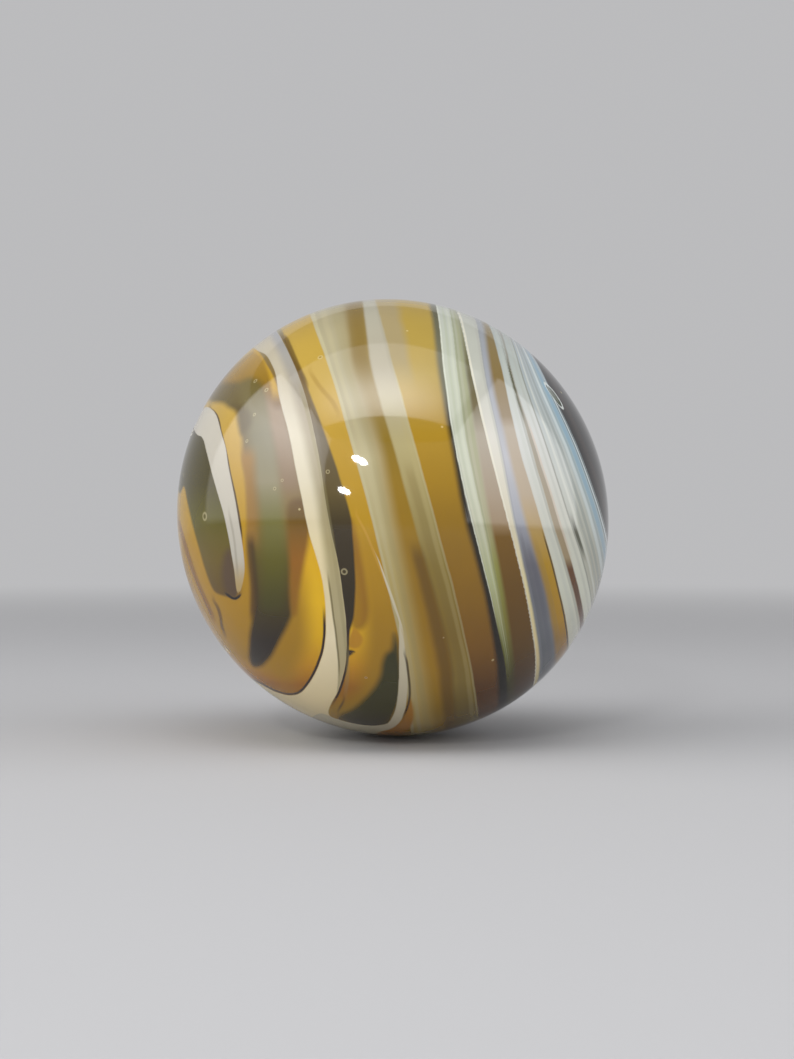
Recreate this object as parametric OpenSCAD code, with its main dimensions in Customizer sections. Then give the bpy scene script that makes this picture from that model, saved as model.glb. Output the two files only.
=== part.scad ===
// Hand-worked swirl marble: one ball of coloured glass, a little out of round.
// Origin at the centre of the ball, +Z up, the side with the fold towards -Y and -X.

/* [Ball] */
// Longest measure across the ball
long_d = 40.8; // [39.8:0.1:42.8]
// Shortest measure across the ball
short_d = 39.4; // [37.4:0.1:39.6]

/* [Marks on the surface] */
// Length of the bubble that broke open near the right edge
open_bubble_l = 2.4; // [1.6:0.1:3.4]
// Width of that bubble
open_bubble_w = 1.2; // [0.8:0.05:1.4]
// Depth of that bubble
open_bubble_depth = 0.25; // [0.1:0.05:0.4]
// Width of the pit at the top of the white blade
pit_d = 1.3; // [0.6:0.1:2]
// Depth of that pit
pit_depth = 0.25; // [0.1:0.05:0.3]
// Width of the chip low on the left edge
chip_d = 0.9; // [0.5:0.1:1.6]
// Depth of that chip
chip_depth = 0.15; // [0.05:0.05:0.25]

/* [Seed bubbles] */
// Diameter of the seed bubbles shut in the glass
seed_d = 0.5; // [0.3:0.05:0.8]
// Glass left over each seed bubble
seed_cover = 0.35; // [0.2:0.05:1]

/* [Hidden] */
$fn = 96;
// Half of the long measure
long_r = long_d / 2;
// Length of the waist between the two half balls
waist = long_d - short_d;
// Lean of the long measure from upright, top towards -X
BALL_LEAN = 32;
// Turn of the revolved ball about its long measure, which puts its seam across the colours and not along them
SEAM_TURN = 90;
// The outlines of the colours reach past the ball on every side
reach = 2 * long_d;

// Lean of the swirl: its bands lie square to an axis that points to the right edge
SWIRL_LEAN = 14;

// Where the marks are: turn about +Z from +X, and rise above the middle, in degrees
OPEN_BUBBLE_AT = [-31, 33];
PIT_AT = [-170, 23];
CHIP_AT = [-162, -37];
SEEDS_AT = [[-150, 1], [-103, -14], [-124, 46], [-143, 38], [-154, 37], [-109, 13], [-137, 28]];

// Colours of the glass
CREAM = "#ded6bb";
MINT = "#cfd9c6";
BEIGE = "#a9a473";
AMBER = "#b8860f";
YELLOW = "#dcab10";
BROWN = "#6e4a10";
OLIVE = "#4a4a22";
DARK = "#2c2616";
LAVENDER = "#8b8a92";
TAN = "#a98a6c";

// Bands from the ribbon to the right edge. Each row: where the band starts at mid height, as a share of half the
// long measure; how far its left border leans from upright, in degrees; its colour.
BANDS = [
    [-0.41, 12, CREAM], [-0.27, 13, DARK], [-0.17, 15, AMBER], [-0.11, 16, BEIGE], [0.02, 14, AMBER],
    [0.12, 14, BEIGE], [0.20, 13, AMBER], [0.34, 12, MINT], [0.43, 12, BROWN], [0.50, 13, CREAM],
    [0.54, 14, LAVENDER], [0.61, 14, AMBER], [0.66, 15, MINT], [0.71, 16, TAN], [0.74, 16, MINT],
    [0.94, 18, OLIVE]
];

// The fold left of the ribbon, from the outside in. Each row: half width and lowest point of one turn of the fold,
// as shares of half the long measure; its colour.
TURNS = [
    [0.50, -0.98, CREAM], [0.42, -0.86, YELLOW], [0.26, -0.70, OLIVE], [0.13, -0.42, AMBER], [0.07, -0.36, CREAM]
];
// Middle line of the fold at mid height, as a share of half the long measure, and its lean
FOLD_MID = -0.62;
FOLD_LEAN = 10;

// Share of a direction, given as turn and rise, that runs along the ball's long measure
function along(at) = abs(sin(at[1]) * cos(BALL_LEAN) - cos(at[1]) * cos(at[0]) * sin(BALL_LEAN));

// How far the surface is from the centre in that direction
function surface_r(at) =
    along(at) * waist / 2 + sqrt(pow(short_d / 2, 2) - (1 - pow(along(at), 2)) * pow(waist / 2, 2));

// Radius of the ball that cuts a dish of this width and depth
function dish_r(width, depth) = (width * width / 4 + depth * depth) / (2 * depth);

// The ball: two half balls with a very short waist between them, so that it is a little longer one way
module ball() {
    rotate([0, -BALL_LEAN, 0])
        rotate(SEAM_TURN)
            rotate_extrude()
                intersection() {
                    union() {
                        for (end = [-1, 1])
                            translate([0, end * waist / 2])
                                circle(d = short_d);
                        square([short_d, waist], center = true);
                    }
                    translate([0, -reach / 2])
                        square(reach);
                }
}

// Everything right of a border that leans across the front of the ball
module right_of(mid, lean) {
    translate([mid * long_r, 0])
        rotate(lean)
            translate([0, -reach])
                square(2 * reach);
}

// One turn of the fold: open at the top, round at the bottom
module turn(half_w, low) {
    translate([FOLD_MID * long_r, 0])
        rotate(FOLD_LEAN) {
            translate([0, (low + half_w) * long_r])
                circle(half_w * long_r);
            translate([-half_w * long_r, (low + half_w) * long_r])
                square([2 * half_w * long_r, reach]);
        }
}

// One colour of glass: an outline on the front view, carried through the ball to its back
module veil(glass) {
    color(glass)
        intersection() {
            ball();
            rotate([90, 0, 0])
                linear_extrude(height = reach, center = true)
                    children();
        }
}

// One band, between its own left border and the next band's
module band(i) {
    veil(BANDS[i][2])
        difference() {
            right_of(BANDS[i][0], BANDS[i][1]);
            if (i < len(BANDS) - 1)
                right_of(BANDS[i + 1][0], BANDS[i + 1][1]);
        }
}

// The bands that lie side by side, from one to before another, joined pair by pair
module bands(from, to) {
    if (to - from == 1)
        band(from);
    else {
        middle = floor((from + to) / 2);
        bands(from, middle);
        bands(middle, to);
    }
}

// The turns of the fold, each with all that lie inside it
module fold(i) {
    veil(TURNS[i][2])
        difference() {
            turn(TURNS[i][0], TURNS[i][1]);
            right_of(BANDS[0][0], BANDS[0][1]);
            if (i < len(TURNS) - 1)
                turn(TURNS[i + 1][0], TURNS[i + 1][1]);
        }
    if (i < len(TURNS) - 1)
        fold(i + 1);
}

// The amber glass round the fold
module surround() {
    veil(AMBER)
        difference() {
            translate([-reach, -reach])
                square(2 * reach);
            right_of(BANDS[0][0], BANDS[0][1]);
            turn(TURNS[0][0], TURNS[0][1]);
        }
}

// Puts a mark at a place on the ball's surface, with +X pointing out of the glass
module on_surface(at) {
    rotate([0, -at[1], at[0]])
        translate([surface_r(at), 0, 0])
            children();
}

// A round dish: a pit or a chip
module dish(width, depth) {
    r = dish_r(width, depth);
    translate([r - depth, 0, 0])
        sphere(r);
}

// The bubble that was drawn out along the bands and broke open
module open_bubble() {
    r = dish_r(open_bubble_w, open_bubble_depth);
    straight = open_bubble_l - open_bubble_w;
    translate([r - open_bubble_depth, 0, 0])
        rotate([SWIRL_LEAN, 0, 0]) {
            cylinder(h = straight, r = r, center = true);
            for (end = [-1, 1])
                translate([0, 0, end * straight / 2])
                    sphere(r);
        }
}

// All that is missing from the full ball of glass
module marks() {
    on_surface(OPEN_BUBBLE_AT)
        open_bubble();
    on_surface(PIT_AT)
        dish(pit_d, pit_depth);
    on_surface(CHIP_AT)
        dish(chip_d, chip_depth);
    for (at = SEEDS_AT)
        on_surface(at)
            translate([-seed_cover - seed_d / 2, 0, 0])
                sphere(d = seed_d, $fn = 24);
}

module marble() {
    difference() {
        union() {
            bands(0, len(BANDS));
            union() {
                surround();
                fold(0);
            }
        }
        marks();
    }
}

marble();
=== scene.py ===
import math

import bmesh
import bpy
import numpy as np
from mathutils import Matrix, Vector


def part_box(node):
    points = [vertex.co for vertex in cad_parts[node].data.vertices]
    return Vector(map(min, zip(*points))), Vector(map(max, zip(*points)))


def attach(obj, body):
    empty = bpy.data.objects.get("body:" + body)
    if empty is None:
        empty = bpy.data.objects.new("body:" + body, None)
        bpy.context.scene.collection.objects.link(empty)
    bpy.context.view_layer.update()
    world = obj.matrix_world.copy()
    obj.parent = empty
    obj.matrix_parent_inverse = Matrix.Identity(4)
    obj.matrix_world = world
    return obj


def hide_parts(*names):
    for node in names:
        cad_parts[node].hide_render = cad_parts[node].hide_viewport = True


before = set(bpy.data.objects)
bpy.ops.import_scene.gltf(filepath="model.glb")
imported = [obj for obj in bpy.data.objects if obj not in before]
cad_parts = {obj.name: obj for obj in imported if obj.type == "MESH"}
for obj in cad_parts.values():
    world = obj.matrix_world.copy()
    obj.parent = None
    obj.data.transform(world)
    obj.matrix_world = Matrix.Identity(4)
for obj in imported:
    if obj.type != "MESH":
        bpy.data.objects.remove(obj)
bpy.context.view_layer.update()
MM = 0.001


# ---- The ball of glass ----
# One solid ball of hand-worked glass, shaped in a wet wooden cup while it was hot, so it is a little longer
# one way than the other. Its surface is fire-polished, with a bubble that broke open, one pit and one chip.

low, high = (Vector(corner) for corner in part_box("marble"))
# The skin lies this far under the face of the solid, and it is this many times as long as it is wide
SKIN_DEPTH = 0.019 * MM
OVAL = 1.0285
SHORT_R = high.y - SKIN_DEPTH
LONG_R = OVAL * SHORT_R
LEAN = math.radians(32)
LONG_AXIS = Vector((-math.sin(LEAN), 0, math.cos(LEAN)))
# The ball starts as a cube with this many cuts each way, and each face near a mark is cut again
CUTS = 117
MARK_CUTS = 3


def turned(turn, rise):
    """The direction that lies at this turn about +Z from +X and this rise above the middle, in degrees."""
    turn, rise = math.radians(turn), math.radians(rise)
    return Vector((math.cos(rise) * math.cos(turn), math.cos(rise) * math.sin(turn), math.sin(rise)))


def surface_radius(direction):
    """How far the glass reaches from the centre in a direction: an oval turned about its long axis."""
    share = direction.dot(LONG_AXIS) ** 2
    return 1 / math.sqrt(share / LONG_R**2 + (1 - share) / SHORT_R**2)


# Each mark: direction, half length along the swirl, half width across it, depth, in millimetres
MARKS = {
    "open_bubble": (turned(-31, 33), 1.2, 0.5, 0.22),
    "pit": (turned(-170, 23), 0.65, 0.6, 0.2),
    "chip": (turned(-162, -37), 0.45, 0.4, 0.14),
}
SWIRL_LEAN = math.radians(14)
# Faces are cut finer out to this reach of a mark, and a hollow's floor rises to its rim on this curve
FINE_REACH = 1.5
HOLLOW_CURVE = 0.7


def mark_reach(point, mark):
    """How far a point of the surface is from the middle of a mark, where 1 is the mark's rim."""
    middle, half_long, half_wide, _ = MARKS[mark]
    across = Vector((0, 0, 1)).cross(middle).normalized()
    up = middle.cross(across)
    along = up * math.cos(SWIRL_LEAN) + across * -math.sin(SWIRL_LEAN)
    side = middle.cross(along)
    offset = point - middle * surface_radius(middle)
    return math.hypot(offset.dot(along) / (half_long * MM), offset.dot(side) / (half_wide * MM))


ball = bmesh.new()
bmesh.ops.create_cube(ball, size=2)
bmesh.ops.subdivide_edges(ball, edges=ball.edges, cuts=CUTS, use_grid_fill=True)
for vert in ball.verts:
    direction = Vector(math.tan(c * math.pi / 4) for c in vert.co).normalized()
    vert.co = direction * surface_radius(direction)

for mark in MARKS:
    marked = [f for f in ball.faces if mark_reach(f.calc_center_median(), mark) < FINE_REACH]
    edges = list({e for f in marked for e in f.edges})
    bmesh.ops.subdivide_edges(ball, edges=edges, cuts=MARK_CUTS, use_grid_fill=True)
    middle, _, _, depth = MARKS[mark]
    for vert in ball.verts:
        if vert.co.dot(middle) > 0.95 * SHORT_R:
            direction = vert.co.normalized()
            vert.co = direction * surface_radius(direction)
            reach = mark_reach(vert.co, mark)
            if reach < 1:
                vert.co -= direction * depth * MM * (1 - reach**2) ** HOLLOW_CURVE
bmesh.ops.triangulate(ball, faces=[f for f in ball.faces if len(f.verts) > 4])
bmesh.ops.recalc_face_normals(ball, faces=ball.faces)
skin_mesh = bpy.data.meshes.new("swirl_ball")
ball.to_mesh(skin_mesh)
ball.free()
for polygon in skin_mesh.polygons:
    polygon.use_smooth = True
skin = bpy.data.objects.new("swirl_ball", skin_mesh)
bpy.context.collection.objects.link(skin)
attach(skin, "root")
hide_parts("marble")


# ---- The swirl ----
# The colours are sheets of glass that were folded and twisted together while soft. Each sheet is drawn as it
# meets the front of the ball, across (x) and up (z) in millimetres, and runs on to the back with a twist.

# Heights at which the borders of the bands are drawn
HEIGHTS = (17, 12, 6, 0, -6, -12, -16)
# Round the back the sheets turn by this much, and wander this far to and fro
BACK_TWIST = math.radians(55)
WANDER = 1.2

points = np.empty(len(skin_mesh.vertices) * 3)
skin_mesh.vertices.foreach_get("co", points)
points = points.reshape(-1, 3) / MM
depth_share = np.clip(points[:, 1] / (SHORT_R / MM), 0, 1)
twist = BACK_TWIST * depth_share**1.5
wander = WANDER * depth_share * np.sin(0.35 * points[:, 2] + 0.2 * points[:, 0])
drawn_x = points[:, 0] * np.cos(twist) - points[:, 2] * np.sin(twist) + wander
drawn_z = points[:, 0] * np.sin(twist) + points[:, 2] * np.cos(twist)


def keep(name, values):
    """Stores one number for each point of the skin, under the name of the sheet that it belongs to."""
    layer = skin_mesh.attributes.new(name, "FLOAT", "POINT")
    layer.data.foreach_set("value", values.astype(np.float32))


def smooth_outline(corners, closed, steps=6):
    """Points along the smooth curve that passes through the corners."""
    corners = np.array(corners, float)
    count = len(corners)
    share = np.arange(steps)[:, None] / steps
    line = []
    for i in range(count if closed else count - 1):
        if closed:
            a, b, c, d = (corners[(i + k) % count] for k in (-1, 0, 1, 2))
        else:
            a, b, c, d = (corners[min(max(i + k, 0), count - 1)] for k in (-1, 0, 1, 2))
        line.append(
            b
            + share * (c - a) / 2
            + share**2 * (2 * a - 5 * b + 4 * c - d) / 2
            + share**3 * (3 * b - a - 3 * c + d) / 2
        )
    return np.vstack(line + ([] if closed else [corners[-1:]]))


def right_of(line, step):
    """How far right of a line each point of the skin lies, and where the line is at that point's height."""
    across, above, below = (np.interp(drawn_z + dz, line[:, 1], line[:, 0]) for dz in (0, step, -step))
    lean = (above - below) / (2 * step)
    return (drawn_x - across) / np.sqrt(1 + lean**2), across


def border(name, places):
    """A border that crosses the whole front, at these places for HEIGHTS. Keeps the distance right of it."""
    top = places[0] + (places[0] - places[1]) * 1.4
    bottom = places[-1] + (places[-1] - places[-2]) * 2
    line = smooth_outline(list(zip((top, *places, bottom), (24, *HEIGHTS, -24))), False)[::-1]
    distances, across = right_of(line, 0.5)
    keep(name, distances)
    return across


def nearest_to(line, closed):
    """How far each point of the skin is from a line, and whether it lies inside, for a closed one."""
    ends = np.roll(line, -1, axis=0) if closed else line[1:]
    nearest = np.full(len(drawn_x), 1e9)
    inside = np.zeros(len(drawn_x), bool)
    for (x0, z0), (x1, z1) in zip(line, ends):
        dx, dz = x1 - x0, z1 - z0
        share = np.clip(((drawn_x - x0) * dx + (drawn_z - z0) * dz) / (dx * dx + dz * dz + 1e-12), 0, 1)
        nearest = np.minimum(nearest, np.hypot(drawn_x - x0 - share * dx, drawn_z - z0 - share * dz))
        if closed and dz != 0:
            inside ^= ((z0 > drawn_z) != (z1 > drawn_z)) & (drawn_x < x0 + (drawn_z - z0) * dx / dz)
    return nearest, inside


def sheet(name, corners):
    """A closed patch of colour. Keeps how far inside its outline each point is."""
    nearest, inside = nearest_to(smooth_outline(corners, True), True)
    keep(name, np.where(inside, nearest, -nearest))


# The foot and the top of each thread
THREAD_ENDS = {}


def thread(name, corners):
    """A fine strand drawn from its top to its foot. Keeps how far right of it each point is."""
    distances, _ = right_of(smooth_outline(corners, False)[::-1], 0.3)
    keep(name, distances)
    THREAD_ENDS[name] = (corners[-1][1], corners[0][1])


# Borders of the bands right of the ribbon, from left to right
BORDERS = {
    "pale_lines": (-7.0, -5.15, -3.4, -1.75, -0.35, 0.9, 1.3),
    "soft_amber": (-4.0, -3.2, -1.3, -0.1, 1.2, 2.4, 3.1),
    "beige_band": (-2.4, -1.7, 0.0, 1.6, 3.25, 4.8, 5.2),
    "right_amber": (-1.0, 0.2, 1.8, 3.4, 5.0, 6.5, 7.3),
    "black_seam": (3.45, 3.85, 4.75, 5.85, 7.5, 8.75, 9.3),
    "mint_band": (4.0, 4.3, 5.05, 6.35, 7.95, 9.45, 10.2),
    "mint_shade": (5.2, 5.5, 6.15, 7.4, 8.7, 9.9, 10.5),
    "brown_wedge": (5.75, 6.2, 6.95, 7.95, 9.2, 10.3, 10.9),
    "white_line": (5.95, 6.65, 7.9, 9.45, 11.1, 12.4, 12.75),
    "lavender_band": (7.5, 7.85, 8.95, 10.0, 11.4, 12.75, 13.1),
    "tan_band": (8.1, 8.35, 9.5, 10.95, 12.9, 14.4, 15.2),
    "white_band": (8.7, 9.45, 10.55, 12.3, 14.2, 15.9, 16.8),
    "thin_tan": (9.5, 10.15, 11.6, 13.35, 15.5, 17.5, 18.5),
    "second_white": (9.7, 10.35, 12.0, 13.95, 16.1, 18.0, 19.0),
    "ice_lines": (10.5, 11.3, 13.1, 15.1, 17.35, 19.2, 20.0),
    "blue_ice": (11.2, 12.5, 14.8, 17.0, 19.0, 20.6, 21.4),
    "clear_edge": (11.9, 13.55, 16.15, 18.6, 21.0, 22.5, 23.5),
}
edges = np.array([border(name, places) for name, places in BORDERS.items()])
gaps = edges[1:] - edges[:-1]
# The band number of each point: 4.5 is halfway across the band that starts at the border of index 4. Left and
# right of them all it goes on at one number for this many millimetres.
OUTER_BAND = 1.5
flow = np.clip((drawn_x - edges[:-1]) / gaps, 0, 1).sum(0)
outside = np.minimum(drawn_x - edges[0], 0) + np.maximum(drawn_x - edges[-1], 0)
keep("flow", flow + outside / OUTER_BAND)
# The ribbon is bright at its left and turns to grey cream at this line
border("grey_strand", (-11.2, -8.9, -7.2, -6.0, -5.2, -4.55, -4.9))

# The white ribbon, which hangs from the top left and turns round under the fold
sheet("ribbon", [
    (-13.5, 16.5), (-12.2, 15.0), (-11.0, 14.1), (-10.1, 12.5), (-9.6, 10.2), (-8.65, 7), (-7.8, 3),
    (-6.95, -1), (-6.35, -3), (-5.85, -5), (-5.6, -7), (-5.55, -9), (-5.75, -11), (-6.5, -13), (-7.75, -15),
    (-8.9, -15.65), (-10.4, -15.5), (-12.5, -14.8), (-15.5, -15), (-10, -22), (-4.5, -21), (-4.6, -18.6),
    (-5.7, -17.2), (-4.8, -15), (-4.15, -13), (-3.9, -11), (-3.95, -8), (-4.45, -4), (-5.3, 0), (-6.1, 5),
    (-7.3, 10), (-8.9, 14), (-10.5, 16.8), (-12, 18.5),
])
# The thin white hairpin, which runs on from the ribbon under the ball and climbs again to a point. Its rising
# part lies between two borders, and the rest is a sheet.
sheet("hairpin", [
    (0.5, -13.6), (0.42, -15.1), (0.2, -16.6), (-0.3, -17.9), (-0.9, -18.25), (-2.1, -18.4), (-3.6, -18.2),
    (-5.1, -17.8), (-6.6, -17.4), (-8.0, -19.5), (-5.2, -21), (-2.1, -19.8), (-0.9, -19.15), (0.0, -18.6),
    (0.65, -17.8), (1.05, -16.7), (1.22, -15.1), (1.22, -13.6), (0.86, -12.6),
])
thread("hairpin_left", [
    (-1.75, -2.2), (-1.2, -3.5), (-0.62, -5.3), (-0.06, -7.0), (0.42, -8.4), (0.5, -9.1), (0.52, -10.6),
    (0.53, -12.1), (0.5, -13.6), (0.45, -15.0),
])
thread("hairpin_right", [
    (-1.75, -2.2), (-1.13, -3.5), (-0.45, -5.3), (0.16, -7.0), (0.6, -8.4), (0.8, -9.1), (1.02, -10.6),
    (1.17, -12.1), (1.23, -13.6), (1.22, -15.0),
])
thread("hairpin_shadow", [
    (1.0, -11.4), (1.18, -12.1), (1.34, -13.6), (1.42, -14.8), (1.32, -16.0), (0.9, -17.3),
])
thread("hairpin_glint", [(0.75, -9.3), (0.95, -9.9), (1.3, -12.3), (1.58, -14.2), (1.72, -16.0)])
thread("amber_glint", [(-3.0, 0.3), (-2.0, -1.7), (-1.45, -3.1), (-1.0, -4.2), (-0.7, -5.0)])
# Dark clear glass between the ribbon and the amber
sheet("dark_gap", [
    (-10.6, 17.5), (-9.4, 15.6), (-8.6, 14), (-7.6, 12), (-6.0, 8), (-4.55, 4), (-3.95, 2), (-3.4, 0),
    (-3.2, -2), (-3.1, -4), (-3.05, -6), (-3.2, -8), (-3.5, -9.2), (-3.8, -10.3), (-4.6, -10.4), (-5.4, -6),
    (-6.6, 0), (-8.6, 7), (-10.2, 12), (-12.5, 16),
])
thread("gap_line", [(-9.9, 16.3), (-9.3, 15.4), (-8.5, 13.7), (-7.55, 11.7), (-7.3, 11.1)])
thread("amber_crease", [(-7.0, 12.4), (-6.4, 11.4), (-5.8, 10.6), (-5.0, 9.6), (-4.5, 8.6)])
sheet("brown_strip", [
    (-3.5, -0.2), (-3.0, -1.3), (-2.65, -3), (-2.3, -5), (-2.05, -7), (-2.1, -8.3), (-2.5, -9.1),
    (-3.2, -9.2), (-3.5, -8), (-3.5, -4),
])
sheet("amber_blob", [
    (-3.2, -9.1), (-2.6, -9.7), (-2.45, -10.2), (-2.8, -10.85), (-3.4, -10.95), (-3.8, -10.6), (-3.6, -9.8),
])
sheet("brown_chip", [(-3.95, -11.05), (-3.1, -11.15), (-3.55, -11.55), (-3.9, -11.75)])
# The clear olive window that the hairpin closes
sheet("olive_window", [
    (0.1, -9.6), (0.42, -10.5), (0.55, -11.5), (0.72, -13), (0.7, -15), (0.2, -16.8), (-0.7, -18.3),
    (-2.5, -18.6), (-4.6, -17.9), (-4.5, -17.3), (-3.5, -16.6), (-2.7, -15.8), (-1.7, -14.6), (-1.1, -13.4),
    (-0.9, -12.2), (-0.6, -11.4), (-0.1, -10.9),
])
thread("window_crack", [(-4.2, -15.6), (-4.45, -16.2), (-4.8, -16.9)])
sheet("under_wedge", [
    (1.45, -15.2), (1.1, -16.8), (0.6, -17.9), (-0.1, -18.6), (-1.4, -19.3), (-0.8, -20.2), (1.0, -19.4),
    (1.75, -18.0), (1.8, -16.4),
])
# Olive glass left of the ribbon, from the upper left edge to the bottom of the fold
sheet("big_olive", [
    (-16.5, 10.4), (-15.0, 9.95), (-14.3, 9.45), (-13.55, 9.0), (-13.4, 8.3), (-13.2, 7.5), (-12.9, 6.6),
    (-12.75, 5), (-12.35, 3), (-12.2, 0), (-12.2, -1.7), (-11.95, -4), (-11.85, -7), (-12.1, -8.6),
    (-12.45, -10.3), (-12.7, -12.3), (-12.3, -13.2), (-11.4, -13.0), (-10.4, -12.0), (-9.6, -10.6),
    (-8.7, -9.0), (-8.2, -7.5), (-8.2, -5), (-7.4, -2), (-6.6, 1), (-7.0, 4), (-7.9, 8), (-8.8, 11),
    (-9.8, 13.2), (-12.2, 14.8), (-14.8, 13.5), (-17.0, 11.8),
])
thread("moss", [
    (-13.0, 13.0), (-12.6, 12.0), (-11.4, 8.5), (-10.6, 4.0), (-10.0, 0.0), (-9.9, -4.0), (-10.2, -8.0),
])
thread("rose", [(-10.1, 10.6), (-9.7, 8.5), (-9.1, 6.0), (-8.7, 4.0), (-8.4, 2.2)])
thread("left_rust", [(-12.4, 5.6), (-12.3, 3.0), (-12.1, 0.4), (-12.1, -2.2)])
thread("left_umber", [(-11.95, -1.7), (-11.85, -3.5), (-11.75, -6.0), (-11.9, -8.5)])
sheet("left_olive", [
    (-16.8, 8.2), (-15.9, 6.4), (-15.1, 4), (-14.4, 2), (-13.8, 0), (-13.4, -2), (-13.2, -4), (-13.2, -6),
    (-13.3, -6.8), (-13.9, -6.9), (-14.9, -6.7), (-15.5, -6.4), (-15.95, -5.6), (-16.5, -4), (-17.1, -2),
    (-17.75, 0), (-18.1, 1.2), (-18.55, 2.7), (-19.2, 2.2), (-20.5, 4), (-19.5, 8),
])
# The white blade, which points down, and the clear brown glass beside its point
sheet("blade", [
    (-16.9, 9.9), (-15.9, 9.45), (-15.25, 8.6), (-14.75, 7.2), (-14.3, 5.9), (-13.9, 4), (-13.4, 2),
    (-13.0, 0), (-12.7, -2), (-12.52, -4), (-12.6, -5.1), (-12.9, -6.15), (-13.2, -6.45), (-13.35, -6),
    (-13.42, -5), (-13.52, -4), (-13.85, -2), (-14.3, 0), (-14.95, 2), (-15.6, 4), (-16.15, 5.7),
    (-16.7, 7.0), (-17.5, 7.5), (-18.5, 9),
])
thread("blade_line", [
    (-16.3, 9.75), (-15.85, 9.4), (-15.3, 8.7), (-14.85, 7.3), (-14.35, 5.9), (-13.9, 4), (-13.4, 2),
    (-13.0, 0), (-12.75, -1.8),
])
thread("blade_grey", [(-13.9, 0.5), (-13.45, -1.5), (-13.25, -3.2), (-13.15, -4.8)])
sheet("smoke", [
    (-14.3, -3.2), (-13.7, -2.8), (-13.3, -4.5), (-13.0, -6.2), (-13.4, -6.8), (-13.9, -6.7), (-14.4, -6.1),
    (-14.6, -4.8),
])
# Orange-brown glass at the upper left, against the ribbon
sheet("rust", [
    (-15.4, 12.3), (-13.6, 14.2), (-11.6, 15.2), (-10.2, 14.3), (-9.4, 12.6), (-9.0, 11), (-8.8, 9.6),
    (-9.8, 9.2), (-10.5, 9.9), (-10.9, 10.7), (-11.4, 11.6), (-12.4, 12.1), (-13.6, 11.8),
])
thread("rust_rim", [
    (-12.6, 15.4), (-11.6, 14.6), (-11.0, 13.9), (-10.4, 12.7), (-10.05, 11.4), (-9.85, 10.4),
])
sheet("umber", [
    (-14.0, 9.9), (-12.8, 9.6), (-12.0, 8.9), (-11.9, 8.0), (-12.4, 7.2), (-12.9, 7.0), (-13.2, 8.0),
    (-13.5, 9.0),
])
sheet("rust_edge", [
    (-8.6, 1.0), (-7.4, 1.5), (-6.8, 0), (-7.0, -2), (-7.4, -4), (-7.8, -6), (-8.1, -8.0), (-8.5, -7.5),
    (-8.5, -4), (-8.6, -2),
])
thread("sliver_line", [
    (-19.4, 0.0), (-18.5, -2.3), (-17.8, -4.2), (-17.1, -6.0), (-16.3, -7.8), (-15.9, -9.0),
])
thread("sliver_edge", [(-15.6, -7.2), (-15.25, -7.8), (-15.05, -8.6), (-15.0, -9.5), (-14.8, -10.3)])

# How much each point is bruised by the pit and the chip, which goes on a little past their rims, and how near
# it is to the rim of the open bubble
BRUISE_REACH = 1.25
FAR = 9.0
bruise = np.zeros(len(points))
open_rim = np.full(len(points), FAR)
for index, point in enumerate(points):
    spot = Vector(point) * MM
    for mark, (middle, half_long, _, _) in MARKS.items():
        if (spot - middle * SHORT_R).length < 3 * half_long * MM:
            reach = mark_reach(spot, mark)
            if mark == "open_bubble":
                open_rim[index] = reach
            else:
                bruise[index] = max(bruise[index], BRUISE_REACH - reach)
keep("bruise", bruise)
keep("open_rim", open_rim)
keep("rise", points[:, 2])
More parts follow.
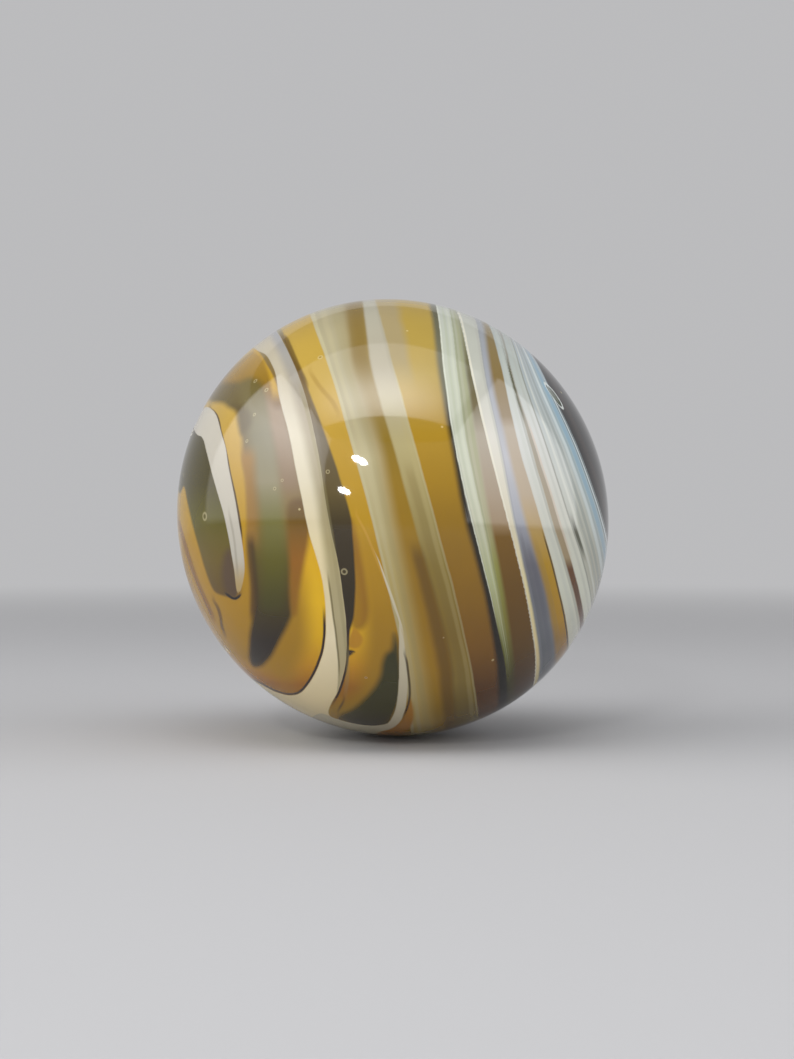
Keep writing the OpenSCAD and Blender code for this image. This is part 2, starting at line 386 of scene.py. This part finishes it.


# ---- The glass itself ----
# Soda-lime glass in opaque and clear colours, with flint glass over them. Each colour changes a little with
# height, partly as the glass's own change and partly as painted light and shade, and seed bubbles and finer
# specks of air are shut just under the surface, drawn with painted highlights and painted shade.

# Each glass: its colour at these heights above the middle, in millimetres. Part of that change is the
# glass's own and part is painted shade: most glasses are painted darker towards the bottom.
GLASS_AND_SHADE = {
    "amber": {
        18: "#a88a30", 12: "#b0923c", 5: "#b08c30", 0: "#b08810", -3: "#aa8004", -9: "#a47a04",
        -14: "#a27804", -17: "#9e7806",
    },
    "yellow": {
        2: "#b08810", -3: "#cc9e04", -7: "#e4b404", -10: "#e0ae04", -12.5: "#c88e04", -14.5: "#a06404",
    },
    "beige": {
        18: "#9c9372", 13: "#a29a7c", 9: "#9e9474", 5: "#b2a884", 0: "#aca074", -5: "#ac9a60",
        -16: "#b09858",
    },
    "soft amber": {
        18: "#806c34", 14: "#8c7840", 11: "#8c7a4c", 6: "#826818", 0: "#906e04", -6: "#906c04",
        -13: "#9e7604", -17: "#927004",
    },
    "pale beige": {
        18: "#a29e8c", 12: "#a69e8a", 6: "#a5996b", 0: "#958650", -4: "#84702c", -10: "#80661a",
        -14: "#86702c", -17: "#705c20",
    },
    "honey": {
        18: "#a28834", 12: "#a48c44", 7: "#9e7c1c", 3: "#98740c", -2: "#8a6604", -7: "#845e02",
        -11: "#785002", -15: "#583404",
    },
    "black": {
        18: "#555339", 14: "#666450", 11: "#5c5a44", 8: "#3c3214", 0: "#241c04", -6: "#181002",
        -16: "#100a02",
    },
    "mint": {
        18: "#aeb2a6", 10: "#b0b4a2", 4: "#b8bba8", -1: "#b6b69c", -5: "#aeb286", -8: "#a0a06c",
        -11: "#6c6c30", -15: "#342e08",
    },
    "mint shade": {
        18: "#9c9f8a", 10: "#9c9e84", 3: "#a09c80", -1: "#98946c", -4: "#8a8a44", -9: "#7a742c",
        -14: "#3c3408",
    },
    "wedge": {
        18: "#8c8c70", 12: "#56502e", 9: "#746a4e", 7: "#9a907e", 2: "#94826a", -0.6: "#8e7654",
        -1.6: "#6e4e06", -7: "#644504", -11: "#583c02", -15: "#3c2202",
    },
    "cream line": {
        18: "#aaaca2", 12: "#b0b1a6", 7: "#c8c5bb", 0: "#c8c1aa", -6: "#dace9e", -12: "#d8c694",
        -17: "#bcae80",
    },
    "white": {
        18: "#9ca4a0", 12: "#aab0aa", 7: "#bfc0bc", 0: "#bebeb2", -6: "#c6c8b8", -12: "#c2c0ae",
        -17: "#a8a894",
    },
    "lavender": {
        18: "#8c9094", 10: "#9a9da4", 5: "#aaaab0", 0: "#9698a0", -4: "#66666e", -9: "#6a6e74",
        -15: "#565a60",
    },
    "tan": {
        18: "#7c6c44", 12: "#7c683c", 8.5: "#88765a", 7.5: "#a39684", 2: "#a8967c", -1.5: "#a88a48",
        -4: "#a8820c", -9: "#a67c02", -12: "#845a02", -15: "#5e3c02",
    },
    "thin tan": {
        18: "#888880", 8: "#908a7c", 2: "#94876e", -3.4: "#948262", -4.4: "#5a3404", -12: "#4a2a04",
    },
    "ice": {18: "#929ca2", 10: "#a2aaaa", 4: "#b4b8b2", 0: "#aeb0a4", -5: "#a8a898", -10: "#a0a092"},
    "blue ice": {18: "#929ea4", 8: "#98aab0", 3: "#a2b0b2", -2: "#a6aeaa", -8: "#a0a6a2"},
    # The clear glass at the right edge is painted almost black: painted shade for the dark seen through it
    "edge": {18: "#0c0808", -8: "#120c0a"},
    "cream": {
        18: "#aca38e", 9: "#b0a792", 3: "#cbc2a8", -2: "#d6c8a0", -6: "#decea2", -10: "#efe1bc",
        -16: "#e8d6a8",
    },
    "grey cream": {
        18: "#8e9096", 14: "#94918a", 9: "#968b76", 3: "#a2977a", -2: "#a09368", -8: "#b2a67e",
        -14: "#b8aa82",
    },
    "dark": {18: "#82784c", 12: "#70592c", 7: "#665a44", 2: "#584a24", -1: "#322606", -10: "#241a02"},
    "olive": {
        15: "#64501c", 10: "#5c4e1e", 7: "#655630", 3: "#7e6a46", 0: "#7a6228", -3.6: "#574b04",
        -7: "#423604", -10.7: "#1c1004", -14: "#140c04",
    },
    "moss": {
        12: "#62541e", 7: "#6a6345", 3: "#847c5e", 0: "#6e6a34", -3.6: "#575204", -7: "#423e04",
        -11: "#241e04",
    },
    "left olive": {9: "#3c3408", 3: "#423a04", 0: "#565004", -3.6: "#625004", -7: "#5c4202"},
    "rust": {15: "#9c7a24", 12: "#86660f", 9: "#604008"},
    "rust edge": {2: "#6a5030", 0: "#644a04", -3.6: "#8a5802", -8: "#8c6002"},
    "window": {-9: "#2a2e06", -14: "#363408", -16.5: "#3a3608", -19: "#2c1e04"},
}


def linear(text):
    """A colour written as #rrggbb, as the linear values that a shader takes."""
    parts = (int(text[i : i + 2], 16) / 255 for i in (1, 3, 5))
    return [p / 12.92 if p <= 0.04045 else ((p + 0.055) / 1.055) ** 2.4 for p in parts] + [1.0]


swirl = bpy.data.materials.new("swirl_glass")
swirl.use_nodes = True
nodes, links = swirl.node_tree.nodes, swirl.node_tree.links
shader = nodes["Principled BSDF"]


def add(kind, settings=(), **inputs):
    """Adds a node with these settings and inputs. An input is a socket's name, or i and its number."""
    node = nodes.new(kind)
    for key, value in dict(settings).items():
        setattr(node, key, value)
    for key, value in inputs.items():
        socket = node.inputs[int(key[1:])] if key[0] == "i" and key[1:].isdigit() else node.inputs[key]
        if isinstance(value, bpy.types.NodeSocket):
            links.new(value, socket)
        else:
            socket.default_value = value
    return node


def calc(operation, *values):
    inputs = {f"i{i}": value for i, value in enumerate(values)}
    return add("ShaderNodeMath", {"operation": operation}, **inputs).outputs[0]


def blend(mask, below, above):
    return add("ShaderNodeMix", {"data_type": "RGBA"}, i0=mask, i6=below, i7=above).outputs[2]


def kept(name):
    return add("ShaderNodeAttribute", {"attribute_name": name}).outputs["Fac"]


# Borders waver by this many millimetres in all. Streaks change fast into the ball and slowly with height.
WAVER = 0.14
STREAK_DEPTH = 60.0
STREAK_RISE = 0.06

place = add("ShaderNodeTexCoord").outputs["Object"]
depth = calc("MULTIPLY", add("ShaderNodeSeparateXYZ", i0=place).outputs[1], STREAK_DEPTH)
rise = kept("rise")
height = calc("MULTIPLY_ADD", rise, 0.5 * MM / LONG_R, 0.5)
glass_and_shade_colours = {}


def glass(name):
    """The colour of a glass, which changes with height, partly as painted shade. Each glass has one ramp."""
    if name not in glass_and_shade_colours:
        ramp = add("ShaderNodeValToRGB", i0=height)
        stops = sorted((0.5 + z * MM / (2 * LONG_R), colour) for z, colour in GLASS_AND_SHADE[name].items())
        for stop in stops[1:-1]:
            ramp.color_ramp.elements.new(stop[0])
        for element, stop in zip(ramp.color_ramp.elements, stops):
            element.position = stop[0]
            element.color = linear(stop[1])
        glass_and_shade_colours[name] = ramp.outputs[0]
    return glass_and_shade_colours[name]


def noise(vector, scale, detail=2.0):
    return add("ShaderNodeTexNoise", i0=vector, Scale=scale, Detail=detail).outputs[0]


waver = calc("MULTIPLY_ADD", noise(place, 260.0), WAVER, -WAVER / 2)


def distance(name):
    """The distance kept for a sheet, border or thread, with the small waver that drawn glass has."""
    return calc("ADD", kept(name), waver)


def ease(value, start, end):
    """0 before start, 1 past end, and a smooth change between them."""
    settings = {"interpolation_type": "SMOOTHSTEP"}
    return add("ShaderNodeMapRange", settings, i0=value, i1=start, i2=end).outputs[0]


def stripe(value, middle, half, soft):
    """1 within half of a distance from the middle, which fades over soft."""
    off = calc("ABSOLUTE", calc("SUBTRACT", value, middle))
    return ease(off, half + soft, half)


def both(a, b):
    return calc("MULTIPLY", a, b)


def between(low_z, high_z, fade=1.0):
    """1 where the height lies between two heights, in millimetres."""
    return both(ease(rise, low_z - fade, low_z + fade), ease(rise, high_z + fade, high_z - fade))


ribbon = distance("ribbon")
band = calc("ADD", kept("flow"), both(waver, 0.6))
lead = add("ShaderNodeCombineXYZ", i0=band, i1=both(rise, STREAK_RISE), i2=depth).outputs[0]
hang = add("ShaderNodeCombineXYZ", i0=ribbon, i1=both(rise, STREAK_RISE), i2=depth).outputs[0]
right_share = ease(band, -1.2, -0.2)
left_share = calc("SUBTRACT", 1.0, right_share)
streaks = calc("ADD", both(noise(lead, 3.2), right_share), both(noise(hang, 1.6), left_share))
clouds = noise(place, 150.0)


def strand(name, half, soft, strength=1.0):
    """A thread as a mask: this half width, which fades over soft, from its top to its foot."""
    return both(both(stripe(distance(name), 0, half, soft), between(*THREAD_ENDS[name], 0.8)), strength)


# A share of the colour that is too small to show
NOTHING = 1e-7


def in_turn(colour, *values):
    """The same values, worked out only after this colour, so that the masks that follow wait their turn."""
    last = add("ShaderNodeSeparateColor", i0=colour).outputs[0]
    return [calc("MULTIPLY_ADD", last, NOTHING, value) for value in values]


# Left of the ribbon: bright yellow against it, then olive, with rust and umber at its edges
colour = glass("amber")
colour = blend(both(ease(ribbon, -2.6, -0.4), between(-15.5, 1, 1.5)), colour, glass("yellow"))
olive = distance("big_olive")
colour = blend(ease(olive, -0.25, 0.45), colour, glass("olive"))
colour = blend(both(strand("moss", 0.4, 1.3), ease(olive, 0.1, 0.8)), colour, glass("moss"))
colour = blend(both(strand("rose", 0.3, 0.8, 0.85), ease(olive, 0.0, 0.5)), colour, linear("#80684c"))
colour = blend(both(strand("left_rust", 0.2, 1.1, 0.9), ease(olive, -0.3, 0.2)), colour, linear("#8e6824"))
colour = blend(strand("left_umber", 0.1, 0.5, 0.75), colour, linear("#382004"))
colour = blend(ease(distance("rust_edge"), -0.4, 0.3), colour, glass("rust edge"))
colour = blend(ease(distance("rust"), -0.4, 0.5), colour, glass("rust"))
colour = blend(strand("rust_rim", 0.15, 0.45, 0.75), colour, linear("#b48e20"))
colour = blend(both(ease(distance("umber"), -0.3, 0.5), 0.7), colour, linear("#4c3c10"))
colour = blend(ease(distance("left_olive"), -0.12, 0.2), colour, glass("left olive"))
waver, rise, height, band = in_turn(colour, waver, rise, height, band)
smoke = distance("smoke")
colour = blend(both(ease(smoke, -0.5, 0.4), 0.8), colour, linear("#4e3a2c"))
colour = blend(both(stripe(smoke, -0.12, 0.05, 0.12), between(-8, -6.5, 0.2)), colour, linear("#120806"))
colour = blend(strand("sliver_line", 0.1, 0.3, 0.7), colour, linear("#704002"))
colour = blend(strand("sliver_edge", 0.06, 0.2, 0.7), colour, linear("#3c2204"))
blade = distance("blade")
colour = blend(strand("blade_line", 0.1, 0.12, 0.9), colour, linear("#281804"))
blade_tone = blend(ease(rise, -3.0, -6.0), linear("#b8b2a4"), linear("#aa9262"))
colour = blend(ease(blade, -0.05, 0.06), colour, blade_tone)
colour = blend(both(strand("blade_grey", 0.04, 0.12, 0.4), ease(blade, 0, 0.1)), colour, linear("#807a6c"))

# Between the ribbon and the pale lines: clear dark glass, then amber, with the window at the bottom
waver, rise, height, band = in_turn(colour, waver, rise, height, band)
gap = distance("dark_gap")
colour = blend(strand("amber_crease", 0.05, 0.25, 0.6), colour, linear("#94720c"))
colour = blend(both(ease(distance("brown_strip"), -0.4, 0.3), 0.7), colour, linear("#7c4e02"))
colour = blend(ease(gap, -0.1, 0.14), colour, glass("dark"))
colour = blend(strand("gap_line", 0.12, 0.25, 0.85), colour, linear("#5a4206"))
colour = blend(ease(distance("amber_blob"), -0.1, 0.2), colour, linear("#ba8410"))
colour = blend(ease(distance("brown_chip"), -0.1, 0.12), colour, linear("#2a1804"))
colour = blend(ease(distance("olive_window"), -0.4, 0.4), colour, glass("window"))
colour = blend(strand("window_crack", 0.03, 0.14, 0.7), colour, linear("#1c1004"))
colour = blend(strand("amber_glint", 0.03, 0.14, 0.55), colour, linear("#c09434"))

# The bands from the pale lines to the right edge, each laid over all that is right of its border. The last,
# clear glass at the edge, is painted almost black: painted shade for the dark seen through it.
BANDS = [
    ("pale_lines", 0.2, "beige"), ("soft_amber", 1.7, "soft amber"), ("beige_band", 0.3, "pale beige"),
    ("right_amber", 0.16, "honey"), ("black_seam", 0.6, "black"), ("mint_band", 0.12, "mint"),
    ("mint_shade", 0.5, "mint shade"), ("brown_wedge", 0.5, "wedge"), ("white_line", 0.1, "cream line"),
    ("lavender_band", 0.3, "lavender"), ("tan_band", 0.6, "tan"), ("white_band", 0.14, "white"),
    ("thin_tan", 0.2, "thin tan"), ("second_white", 0.16, "white"), ("ice_lines", 0.25, "ice"),
    ("blue_ice", 0.5, "blue ice"), ("clear_edge", 0.16, "edge"),
]
for name, softness, tone in BANDS:
    if name in ("pale_lines", "black_seam", "lavender_band", "ice_lines"):
        waver, rise, height, band = in_turn(colour, waver, rise, height, band)
    side = distance(name)
    colour = blend(ease(side, -softness / 2, softness / 2), colour, glass(tone))
# Drawn lines in the bands: band number, half width and softness in band widths, colour, strength, heights
DRAWN = [
    (0.06, 0.03, 0.08, "#b8b08c", 0.5, -20, 20), (0.38, 0.03, 0.12, "#b4aa84", 0.3, -20, 20),
    (0.75, 0.05, 0.2, "#8e8254", 0.3, -20, 20), (1.5, 0.25, 0.4, "#745c20", 0.6, 12.0, 20),
    (1.8, 0.08, 0.35, "#5c4004", 0.75, -20, -2.5), (2.45, 0.08, 0.25, "#76622c", 0.35, -20, 4),
    (2.75, 0.04, 0.12, "#a89a68", 0.3, -20, 8), (2.97, 0.02, 0.05, "#b0a880", 0.35, -20, 20),
    (3.14, 0.14, 0.22, "#918b7b", 0.5, 12.0, 20), (4.85, 0.1, 0.3, "#181204", 0.5, -13, 9),
    (5.05, 0.03, 0.07, "#c6c9ba", 0.8, -8, 20), (5.45, 0.03, 0.14, "#9ca488", 0.35, -12, 20),
    (5.75, 0.03, 0.1, "#c0c4ae", 0.35, -12, 20), (6.1, 0.06, 0.12, "#7c8058", 0.45, -12, 20),
    (6.75, 0.1, 0.2, "#8e9066", 0.45, 2, 20), (8.07, 0.05, 0.08, "#d6d2c0", 0.7, -17, 20),
    (8.9, 0.04, 0.12, "#a4a49c", 0.5, -2, 20), (9.3, 0.06, 0.15, "#5c5c62", 0.4, -20, -1.5),
    (9.62, 0.05, 0.2, "#585660", 0.4, -20, -2.5), (9.08, 0.04, 0.1, "#7c8088", 0.4, -20, 20),
    (10.93, 0.03, 0.06, "#33280c", 0.85, -16, -1.5), (10.2, 0.1, 0.2, "#8a7240", 0.4, -20, -2),
    (11.5, 0.04, 0.2, "#b2b6ac", 0.4, -20, 20), (11.9, 0.05, 0.1, "#8c8c80", 0.5, -20, 20),
    (12.3, 0.15, 0.3, "#4a4a30", 0.85, 8.5, 13.5), (13.06, 0.05, 0.08, "#c0a890", 0.5, -3, 8),
    (13.55, 0.04, 0.12, "#a4a69c", 0.4, -20, 20), (13.95, 0.03, 0.07, "#7c7e74", 0.7, -20, 20),
    (14.1, 0.05, 0.08, "#34341c", 0.85, -3.2, -0.2), (14.28, 0.03, 0.06, "#c8cac0", 0.6, -20, 20),
    (14.5, 0.03, 0.08, "#8e9490", 0.5, -20, 20), (14.75, 0.04, 0.08, "#848c88", 0.55, -20, 20),
    (15.1, 0.05, 0.08, "#c4ccca", 0.7, -20, 20), (15.3, 0.03, 0.06, "#8a9898", 0.5, -20, 20),
    (15.55, 0.08, 0.14, "#789aae", 0.7, -6, 20), (15.8, 0.03, 0.04, "#4c6068", 0.7, -20, 12),
    (15.88, 0.03, 0.04, "#c4cccc", 0.8, -20, 12), (15.95, 0.02, 0.03, "#4a5050", 0.8, -20, 12),
    (16.5, 0.05, 0.2, "#30241e", 0.6, -20, 20),
]
for index, (middle, half, soft, tone, strength, lowest, highest) in enumerate(DRAWN):
    if index % 9 == 0:
        waver, rise, height, band = in_turn(colour, waver, rise, height, band)
    line = both(stripe(band, middle, half, soft), strength)
    if (lowest, highest) != (-20, 20):
        line = both(line, between(lowest, highest, 2.0 if highest == 20 else 1.0))
    colour = blend(line, colour, linear(tone))

# The ribbon and its hairpin lie over the rest
waver, rise, height, band = in_turn(colour, waver, rise, height, band)
on_ribbon = ease(ribbon, -0.06, 0.06)
colour = blend(both(stripe(ribbon, -0.12, 0.05, 0.14), between(-16, -8)), colour, linear("#2a1604"))
colour = blend(on_ribbon, colour, glass("cream"))
rim = distance("grey_strand")
soft_rim = blend(ease(rise, -4.0, -6.0), ease(rim, -0.5, 0.4), ease(rim, -0.06, 0.06))
colour = blend(both(on_ribbon, soft_rim), colour, glass("grey cream"))
colour = blend(both(both(stripe(rim, 0.0, 0.03, 0.1), between(-13.4, -5.0)), 0.75), colour, linear("#5c5022"))
colour = blend(both(both(stripe(rim, 0.75, 0.06, 0.2), between(-15, 11)), 0.35), colour, linear("#8c8258"))
colour = blend(both(both(on_ribbon, ease(rim, 0.9, 1.3)), between(11.5, 20)), colour, linear("#6e6434"))
lean = both(ease(distance("hairpin_left"), -0.04, 0.05), ease(distance("hairpin_right"), 0.05, -0.04))
lean = both(lean, between(-15.0, -3.0, 0.8))
colour = blend(calc("MAXIMUM", lean, ease(distance("hairpin"), -0.06, 0.06)), colour, linear("#c8bea2"))
colour = blend(ease(distance("under_wedge"), -0.1, 0.2), colour, linear("#a87010"))
colour = blend(strand("hairpin_glint", 0.05, 0.12, 0.65), colour, linear("#b8a676"))
colour = blend(strand("hairpin_shadow", 0.04, 0.12, 0.85), colour, linear("#2c1a04"))

# The colour itself is a little mottled, the more so along its fine streaks
mottling = calc("MULTIPLY_ADD", clouds, 0.2, 0.9)
share = calc("MULTIPLY_ADD", streaks, 0.55, 0.725)
share = both(share, calc("MULTIPLY_ADD", clouds, 0.3, 0.85))
colour = add("ShaderNodeHueSaturation", Value=mottling, i3=share, Color=colour).outputs[0]

# Seed bubbles shut in the glass, painted as a bright rim (painted highlight) round a darker middle (painted
# shade). Turn, rise and radius in millimetres
BUBBLES = [
    (-145, 0.3, 0.3), (-102, -13, 0.22), (-137, 36, 0.16), (-130, 33, 0.16), (-131, 26, 0.12),
    (-131, 19, 0.12), (-115, 43, 0.18), (-120, 7, 0.12), (-118, 9, 0.1), (-163, 11, 0.12),
    (-106, 11, 0.14), (-99, -43, 0.1), (35, 20, 0.24), (80, -10, 0.2), (120, 25, 0.26),
    (150, -20, 0.18), (60, 40, 0.2), (100, 5, 0.16),
]
nearest = FAR
for turn, lift, radius in BUBBLES:
    middle = turned(turn, lift)
    middle = middle * surface_radius(middle)
    off = add("ShaderNodeVectorMath", {"operation": "DISTANCE"}, i0=place, i1=middle).outputs["Value"]
    nearest = calc("MINIMUM", nearest, calc("MULTIPLY", off, 1 / (radius * MM)))
# Painted shade darkens each bubble's middle, and a painted highlight brightens its rim
colour = blend(both(ease(nearest, 1.0, 0.6), 0.3), colour, linear("#4c4018"))
colour = blend(both(stripe(nearest, 1.0, 0.1, 0.4), 0.4), colour, linear("#cfc294"))
# Specks of trapped air, each painted as a bright point: a painted glint
cells = add("ShaderNodeTexVoronoi", i0=place, Scale=330.0)
lucky = ease(add("ShaderNodeSeparateColor", i0=cells.outputs["Color"]).outputs[0], 0.3, 0.32)
speck_glint = both(both(ease(cells.outputs["Distance"], 0.05, 0.03), lucky), 0.5)
colour = blend(speck_glint, colour, linear("#dccc94"))
# The pit and the chip are broken glass: white and rough. The open bubble is painted darker inside its rim,
# painted shade in its hollow, paler at its middle, with a pale line just outside the rim
broken = noise(place, 2600.0, 1.0)
bruised = both(ease(both(kept("bruise"), calc("MULTIPLY_ADD", broken, 3.0, -0.5)), 0.1, 0.4), 0.85)
colour = blend(bruised, colour, linear("#d6d2c8"))
lip = kept("open_rim")
# Painted shade inside the open bubble's hollow
colour = blend(both(ease(lip, 1.0, 0.85), 0.75), colour, linear("#50584a"))
colour = blend(both(ease(lip, 0.5, 0.3), 0.5), colour, linear("#8c9a90"))
colour = blend(both(stripe(lip, 1.12, 0.06, 0.12), 0.8), colour, linear("#d4dad6"))
links.new(colour, shader.inputs["Base Color"])

gloss = calc("MULTIPLY_ADD", clouds, 0.05, 0.02)
links.new(calc("MAXIMUM", gloss, both(bruised, 0.5)), shader.inputs["Roughness"])
# Where sheets meet, the polished surface keeps a faint groove, and the streaks show as faint cords
groove = stripe(ribbon, 0, 0.05, 0.3)
relief = calc("SUBTRACT", both(streaks, 0.6), both(groove, 0.5))
relief = calc("ADD", relief, both(both(broken, bruised), 4.0))
bump = add("ShaderNodeBump", Strength=0.35, Distance=0.012 * MM, Height=relief)
links.new(bump.outputs[0], shader.inputs["Normal"])
shader.inputs["IOR"].default_value = 1.6
skin_mesh.materials.append(swirl)


# ---- The table and the light ----
# A pale sheet that runs up into a round wall. A light tent stands round the ball, open to the front and back:
# a white ceiling and two white sides, each with a strip of lamps behind it. Two small bare lamps shine in.

FLOOR = low.z
PAPER = (0.42, 0.42, 0.43, 1)
ROOM = (0.5, 0.5, 0.51, 1)
COVE_R, COVE_BEND, COVE_TOP = 0.9, 0.25, 0.7
cove = bmesh.new()
profile = [cove.verts.new((0, 0, FLOOR)), cove.verts.new((COVE_R - COVE_BEND, 0, FLOOR))]
for step in range(1, 13):
    angle = math.radians(90) * step / 12
    x = COVE_R - COVE_BEND + COVE_BEND * math.sin(angle)
    profile.append(cove.verts.new((x, 0, FLOOR + COVE_BEND * (1 - math.cos(angle)))))
profile.append(cove.verts.new((COVE_R, 0, FLOOR + COVE_TOP)))
path = [cove.edges.new(pair) for pair in zip(profile, profile[1:])]
bmesh.ops.spin(
    cove, geom=profile + path, cent=(0, 0, 0), axis=(0, 0, 1), angle=math.tau, steps=96, use_merge=True
)
bmesh.ops.remove_doubles(cove, verts=cove.verts, dist=1e-6)
bmesh.ops.recalc_face_normals(cove, faces=cove.faces)
cove_mesh = bpy.data.meshes.new("table")
cove.to_mesh(cove_mesh)
cove.free()
for polygon in cove_mesh.polygons:
    polygon.use_smooth = True
table = bpy.data.objects.new("table", cove_mesh)
bpy.context.collection.objects.link(table)
paper = bpy.data.materials.new("table_paper")
paper.use_nodes = True
tree = paper.node_tree
matt = tree.nodes["Principled BSDF"]
matt.inputs["Base Color"].default_value = PAPER
matt.inputs["Roughness"].default_value = 0.9
# Away from the ball the sheet shows as one even pale tone, and near it the sheet keeps its light and shadow
rays = tree.nodes.new("ShaderNodeLightPath").outputs
seen = tree.nodes.new("ShaderNodeMath")
seen.operation = "MAXIMUM"
tree.links.new(rays["Is Camera Ray"], seen.inputs[0])
tree.links.new(rays["Is Glossy Ray"], seen.inputs[1])
also = tree.nodes.new("ShaderNodeMath")
also.operation = "MAXIMUM"
tree.links.new(seen.outputs[0], also.inputs[0])
tree.links.new(rays["Is Transmission Ray"], also.inputs[1])
span = tree.nodes.new("ShaderNodeVectorMath")
span.operation = "LENGTH"
tree.links.new(tree.nodes.new("ShaderNodeTexCoord").outputs["Object"], span.inputs[0])
far = tree.nodes.new("ShaderNodeMapRange")
far.interpolation_type = "SMOOTHSTEP"
far.inputs["From Min"].default_value = 0.1
far.inputs["From Max"].default_value = 0.4
tree.links.new(span.outputs["Value"], far.inputs["Value"])
share = tree.nodes.new("ShaderNodeMath")
share.operation = "MULTIPLY"
tree.links.new(also.outputs[0], share.inputs[0])
tree.links.new(far.outputs["Result"], share.inputs[1])
glow = tree.nodes.new("ShaderNodeEmission")
glow.inputs["Color"].default_value = ROOM
mix = tree.nodes.new("ShaderNodeMixShader")
tree.links.new(share.outputs[0], mix.inputs[0])
tree.links.new(matt.outputs[0], mix.inputs[1])
tree.links.new(glow.outputs[0], mix.inputs[2])
tree.links.new(mix.outputs[0], tree.nodes["Material Output"].inputs["Surface"])
cove_mesh.materials.append(paper)

world = bpy.data.worlds.new("room")
bpy.context.scene.world = world
world.use_nodes = True
world.node_tree.nodes["Background"].inputs["Color"].default_value = ROOM
world.node_tree.nodes["Background"].inputs["Strength"].default_value = 0.5


# The share of a light's half width and half height over which its edge fades
EDGE = 1 / 16


def panel(name, centre, target, size, level, glow_at=None, glow=(0, 0, 0), shape="RECTANGLE", roll=0.0):
    """A soft light of this width and height, even apart from a glow (half width, half height, gain)."""
    light = bpy.data.lights.new(name, "AREA")
    light.shape = shape
    light.size, light.size_y = size
    light.energy = math.pi * size[0] * size[1]
    lamp = bpy.data.objects.new(name, light)
    turn = (Vector(target) - Vector(centre)).to_track_quat("-Z", "Y").to_matrix()
    turn = turn @ Matrix.Rotation(roll, 3, "Z")
    lamp.matrix_world = Matrix.Translation(centre) @ turn.to_4x4()
    lamp.visible_camera = False
    bpy.context.collection.objects.link(lamp)
    light.use_nodes = True
    tree = light.node_tree
    where = tree.nodes.new("ShaderNodeNewGeometry").outputs["Position"]

    def maths(operation, *values):
        node = tree.nodes.new("ShaderNodeMath")
        node.operation = operation
        for socket, value in zip(node.inputs, values):
            if isinstance(value, bpy.types.NodeSocket):
                tree.links.new(value, socket)
            else:
                socket.default_value = value
        return node.outputs[0]

    def along(axis, origin, half):
        """How far a point of the light is from an origin along one of its axes, in these half lengths."""
        dot = tree.nodes.new("ShaderNodeVectorMath")
        dot.operation = "DOT_PRODUCT"
        tree.links.new(where, dot.inputs[0])
        direction = turn.col[axis] / half
        dot.inputs[1].default_value = direction
        return maths("SUBTRACT", dot.outputs["Value"], direction.dot(Vector(origin)))

    edges = [maths("ABSOLUTE", along(axis, centre, size[axis] / 2)) for axis in (0, 1)]
    edges = [maths("MULTIPLY_ADD", edge, 1 / EDGE, 1 - 1 / EDGE) for edge in edges]
    edges = [maths("SMOOTH_MAX", 0.0, edge, 0.2) for edge in edges]
    fades = [maths("SUBTRACT", 1.0, edge) for edge in edges]
    strength = maths("MULTIPLY", maths("MAXIMUM", fades[0], 0.0), maths("MAXIMUM", fades[1], 0.0))
    if glow_at is not None:
        offs = [maths("POWER", along(axis, glow_at, glow[axis]), 2.0) for axis in (0, 1)]
        bell = maths("EXPONENT", maths("MULTIPLY", maths("ADD", *offs), -1.0))
        strength = maths("MULTIPLY", strength, maths("MULTIPLY_ADD", bell, glow[2], level))
    else:
        strength = maths("MULTIPLY", strength, level)
    tree.links.new(strength, tree.nodes["Emission"].inputs["Strength"])


# Half the width of the tent. Its sheets, as shares of that: the middle, the point faced, the width and depth,
# and the level, then the middle, half width, half height and gain of the glow of the lamps behind.
BOX = 0.35
TENT = {
    "ceiling": (
        (-0.08, -0.46, 1.35), (-0.08, -0.46, 0), (1.98, 1.32), 0.7,
        (-0.1, -0.75, 1.35), (0.65, 0.42), 3.8,
    ),
    "left_side": (
        (-1, -0.5, 0.62), (0, -0.5, 0.62), (1.84, 1.36), 0.5,
        (-1, -0.45, 0.85), (0.75, 0.5), 4.0,
    ),
    "right_side": (
        (1, -0.5, 0.62), (0, -0.5, 0.62), (1.72, 1.36), 1.2,
        (1, -0.5, 0.7), (0.6, 0.6), 0.9,
    ),
}
for name, (centre, faced, size, level, glow_at, glow, gain) in TENT.items():
    glow = (glow[0] * BOX, glow[1] * BOX, gain)
    size = (size[0] * BOX, size[1] * BOX)
    panel(name, Vector(centre) * BOX, Vector(faced) * BOX, size, level, Vector(glow_at) * BOX, glow)
# The bare lamps: turn and rise of their direction, width and height, level, and roll
BARE_LAMPS = {
    "upper_lamp": (-107, 27, (0.058, 0.02), 60, -25),
    "lower_lamp": (-114, 12, (0.046, 0.018), 50, -20),
}
LAMP_REACH = 0.4
for name, (turn, lift, size, level, roll) in BARE_LAMPS.items():
    place_of_lamp = turned(turn, lift) * LAMP_REACH
    panel(name, place_of_lamp, (0, 0, 0), size, level, shape="ELLIPSE", roll=math.radians(roll))


# ---- The camera ----
# Level with the middle of the ball and close to it, as for a close-up of a small thing. It aims a little low,
# so the ball stands a little high in the picture.

EYE = 162.6 * MM
LENS = 59.7
AIM = Vector((0.38, 0, -1.1)) * MM
camera_data = bpy.data.cameras.new("camera")
camera_data.lens = LENS
camera_data.sensor_width = 36
camera_data.clip_start = 0.01
camera = bpy.data.objects.new("camera", camera_data)
camera.location = (0, -EYE, 0)
camera.rotation_euler = (AIM - camera.location).to_track_quat("-Z", "Y").to_euler()
bpy.context.collection.objects.link(camera)
bpy.context.scene.camera = camera
bpy.context.scene.view_settings.view_transform = "Standard"
